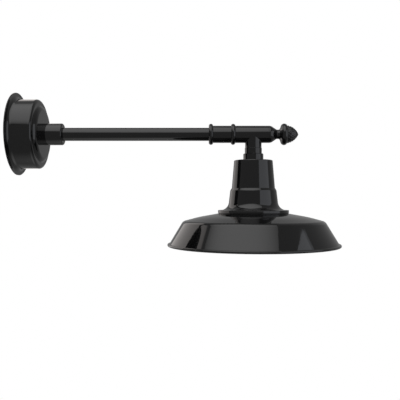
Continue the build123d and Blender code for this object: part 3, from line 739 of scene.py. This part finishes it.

# %% [markdown]
# ## The room
# The light hangs in a photo studio: a pale floor well below it and a white backdrop behind it. To
# the eye both are plain white, so for camera rays they glow at strength 1. Gloss paint mirrors
# them too, but as the greyer walls that they are in a dim room: for glossy rays they glow like the
# room. For glossy rays the floor also has a painted pool of light below the arm, a brighter glow
# that is gone a metre away.
# Light that only bounces meets ordinary matt paint with the faint mottle of a roller.

# %% Floor and backdrop paint
room_glow, floor_z = 0.3, -1.3
pool_place = (0.3, 0.1, floor_z)
studio_paint = {}
for name, painted_pool_glow in (("pale_matt_backdrop_paint", 0.0), ("pale_matt_floor_paint", 0.8)):
    material, tree, shader = start_material(name)
    place = add_node(tree, "ShaderNodeTexCoord", {})
    roller = add_node(tree, "ShaderNodeTexNoise",
                      {"Vector": place.outputs["Object"], "Scale": per_mm(120), "Detail": 3.0})
    tint = add_node(tree, "ShaderNodeMix",
                    {"Factor": roller.outputs["Fac"],
                     "A": linear("#ecebe8"), "B": linear("#f3f2ef")}, data_type="RGBA")
    feed(tree, shader, Base_Color=result(tint), Roughness=0.8)
    # Painted pool of light: glossy rays see the floor glow brighter near pool_place, easing to the
    # room's glow a metre away.
    from_pool = add_node(tree, "ShaderNodeVectorMath",
                         {0: place.outputs["Object"], 1: pool_place}, operation="DISTANCE")
    painted_pool_light = add_node(tree, "ShaderNodeMapRange",
                   {"Value": from_pool.outputs["Value"],
                    "To Min": room_glow + painted_pool_glow, "To Max": room_glow},
                   interpolation_type="SMOOTHSTEP")
    rays = add_node(tree, "ShaderNodeLightPath", {})
    seen = add_node(tree, "ShaderNodeMath",
                    {0: rays.outputs["Is Camera Ray"], 1: rays.outputs["Is Transmission Ray"]},
                    operation="MAXIMUM")
    mirrored = add_node(tree, "ShaderNodeMath",
                        {0: rays.outputs["Is Glossy Ray"], 1: result(painted_pool_light),
                         2: seen.outputs["Value"]}, operation="MULTIPLY_ADD")
    glow = add_node(tree, "ShaderNodeEmission",
                    {"Color": linear("#ffffff"), "Strength": mirrored.outputs["Value"]})
    picked = add_node(tree, "ShaderNodeMath",
                      {0: seen.outputs["Value"], 1: rays.outputs["Is Glossy Ray"]},
                      operation="MAXIMUM")
    either = add_node(tree, "ShaderNodeMixShader",
                      {0: picked.outputs["Value"], 1: shader.outputs["BSDF"],
                       2: glow.outputs["Emission"]})
    feed(tree, tree.nodes["Material Output"], Surface=either.outputs["Shader"])
    studio_paint[name] = material
print(sorted(studio_paint))

# %% [markdown]
# The backdrop is one sheet that stands behind the light; the floor is a slab of its own, low
# enough that nothing of it shows in the picture. A black card with cut corners hangs at the left
# and keeps light off one side: the paint mirrors it as a dark strip along the neck. The black drop
# with a thin tail on the shade needs no card, because it is the canopy and the arm in the shade's
# own mirror.

# %% Floor, backdrop and black card
def panel(name, corners, material):
    mesh = bpy.data.meshes.new(name)
    mesh.from_pydata(corners, [], [tuple(range(len(corners)))])
    mesh.materials.append(material)
    sheet = bpy.data.objects.new(name, mesh)
    bpy.context.scene.collection.objects.link(sheet)
    sheet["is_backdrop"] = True
    return sheet


def upright(start, end, low, high):
    return [(*start, low), (*end, low), (*end, high), (*start, high)]


floor_edge = ((-1.7, -2.0), (2.3, -2.0), (2.3, 2.0), (-1.7, 2.0))
back_left, back_right = (-3.7, 2.3), (4.3, 2.3)
panel("floor", [(x, y, floor_z) for x, y in floor_edge], studio_paint["pale_matt_floor_paint"])
panel("backdrop", upright(back_left, back_right, -1.8, 2.2),
      studio_paint["pale_matt_backdrop_paint"])
card_paint, tree, shader = start_material("black_matt_card")
feed(tree, shader, Base_Color=linear("#050505"), Roughness=0.9)
card_x = -1.0
card_edge = ((-0.035, 0.0), (0.39, 0.0), (0.404, 0.138), (0.665, 0.60), (0.665, 0.66),
             (0.49, 0.80), (0.143, 0.83), (-0.035, 0.3))
card = panel("black_card", [(card_x, y, z) for y, z in card_edge], card_paint)
card.visible_camera = False
print("card corners:", len(card_edge))

# %% [markdown]
# ## World and soft boxes
# The world is white where the camera sees it and a dim grey room for everything else. Gloss black
# hardly shows light, it shows the shapes of what gives the light. So the lamps are soft boxes with
# a real size and place: their edges are set by where the reflections on the arm, the neck and the
# shade begin and end.

# %% World
world = bpy.data.worlds.new("studio")
bpy.context.scene.world = world
world.use_nodes = True
tree = world.node_tree
rays = add_node(tree, "ShaderNodeLightPath", {})
seen = add_node(tree, "ShaderNodeMath",
                {0: rays.outputs["Is Camera Ray"], 1: rays.outputs["Is Transmission Ray"]},
                operation="MAXIMUM")
room_light = add_node(tree, "ShaderNodeMapRange",
                      {"Value": seen.outputs["Value"], "To Min": room_glow, "To Max": 1.0})
feed(tree, tree.nodes["Background"], Color=linear("#ffffff"), Strength=result(room_light))
print("world:", world.name)

# %% [markdown]
# A soft box is cloth in front of a lamp: it glows evenly before the lamp and less towards its
# edges. An area lamp would glow evenly all over, so each box is a sheet whose glow falls off with
# the cube of the way from its bright spot. The reach says in each direction how far off the glow
# would be gone. The broad box overhead has cut corners. It reaches further to the front than to
# the back, so it is made of two sheets that meet below the lamp.

# %% Overhead soft box
def soft_box(name, corners, colour, brightest, spot, reach):
    cloth, tree, shader = start_material("lit_cloth_of_" + name)
    tree.nodes.remove(shader)
    place = add_node(tree, "ShaderNodeTexCoord", {})
    off_spot = add_node(tree, "ShaderNodeVectorMath", {0: place.outputs["Object"], 1: spot},
                        operation="SUBTRACT")
    share = add_node(tree, "ShaderNodeVectorMath", {0: off_spot.outputs["Vector"], 1: reach},
                     operation="DIVIDE")
    fall = add_node(tree, "ShaderNodeVectorMath",
                    {0: share.outputs["Vector"], 1: share.outputs["Vector"]},
                    operation="DOT_PRODUCT")
    cube = add_node(tree, "ShaderNodeMath", {0: fall.outputs["Value"], 1: 1.5}, operation="POWER")
    strength = add_node(tree, "ShaderNodeMath",
                        {0: cube.outputs["Value"], 1: -brightest, 2: brightest},
                        operation="MULTIPLY_ADD")
    glow = add_node(tree, "ShaderNodeEmission",
                    {"Color": linear(colour), "Strength": strength.outputs["Value"]})
    feed(tree, tree.nodes["Material Output"], Surface=glow.outputs["Emission"])
    sheet = panel(name, corners, cloth)
    sheet.visible_camera = False
    print(name, "area in square metres:", round(sheet.data.polygons[0].area, 2))


lamp_y, lamp_z = -0.65, 1.2
front = ((-1.18, -2.65), (1.20, -2.65), (1.20, -0.98), (1.25, -0.84), (1.17, lamp_y),
         (-1.18, lamp_y))
back = ((-1.18, lamp_y), (1.17, lamp_y), (1.07, -0.45), (1.02, -0.20), (0.93, -0.10),
        (0.72, -0.02), (0.45, 0.17), (0.30, 0.465), (-0.45, 0.465), (-1.18, -0.16))
for half, edge, reach_y in (("front", front, 2.5), ("back", back, 1.27)):
    soft_box("overhead_" + half, [(x, y, lamp_z) for x, y in edge], "#ffffff", 1.92,
             (0.0, lamp_y, lamp_z), (1.5, reach_y, 1.0))

# %% [markdown]
# A cool box stands at the right front and a warm one at the left behind. Each has a softer border
# on one side, where its cloth hangs past the lamp, and that border is a sheet of its own.

# %% Side soft boxes
cool, right_foot, wide_reach = "#f6f9ff", -0.43, (3.0, 3.0, 3.0)
right_back, right_edge, right_front = (1.689, -0.067), (1.645, -0.1335), (1.013, -1.091)
soft_box("right_box", upright(right_edge, right_front, right_foot, 0.705), cool, 1.205,
         (1.33, -0.61, 0.1), wide_reach)
soft_box("right_rim", upright(right_back, right_edge, right_foot, 0.695), cool, 0.8,
         (1.667, -0.1, 0.1), wide_reach)
warm, left_foot, left_edge_z, left_top = "#fff9f6", -0.4, 1.32, 1.48
left_front, left_back = (-1.63, -0.04), (-0.385, 1.607)
soft_box("left_box", upright(left_front, left_back, left_foot, left_edge_z), warm, 1.2,
         (-1.0, 0.80, 0.4), (4.0, 4.0, 4.0))
soft_box("left_rim", upright(left_front, left_back, left_edge_z, left_top), warm, 1.17,
         (-1.0, 0.80, left_edge_z), (4.0, 4.0, 0.19))

# %% [markdown]
# ## The camera
# The photograph was taken level, square to the arm and from about 1.1 m, with the lens pointed at
# a spot below the arm. The verticals stay upright, so the camera has no tilt and no shift.

# %% Camera
camera_x, camera_distance, camera_z = 0.37345, 1.117, -0.13455
camera_data = bpy.data.cameras.new("photo_camera")
camera_data.sensor_width = 36.0
camera_data.lens = 49.05
camera = bpy.data.objects.new("photo_camera", camera_data)
bpy.context.scene.collection.objects.link(camera)
camera.location = (camera_x, -camera_distance, camera_z)
camera.rotation_euler = (math.radians(90), 0, 0)
bpy.context.scene.camera = camera
bpy.context.scene.view_settings.view_transform = "Standard"
print("camera distance in m:", camera_distance)

# %% [markdown]
# ## Size and finish
# The dressed light's box is set against its solids' box, and the growth is printed. The
# dressed light must be no larger than its solids.

# %% Size and finish
dressed_low, dressed_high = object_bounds()
grown = (dressed_high - dressed_low) - (cad_high - cad_low)
print("grown in mm:", [round(1000 * side, 3) for side in grown])
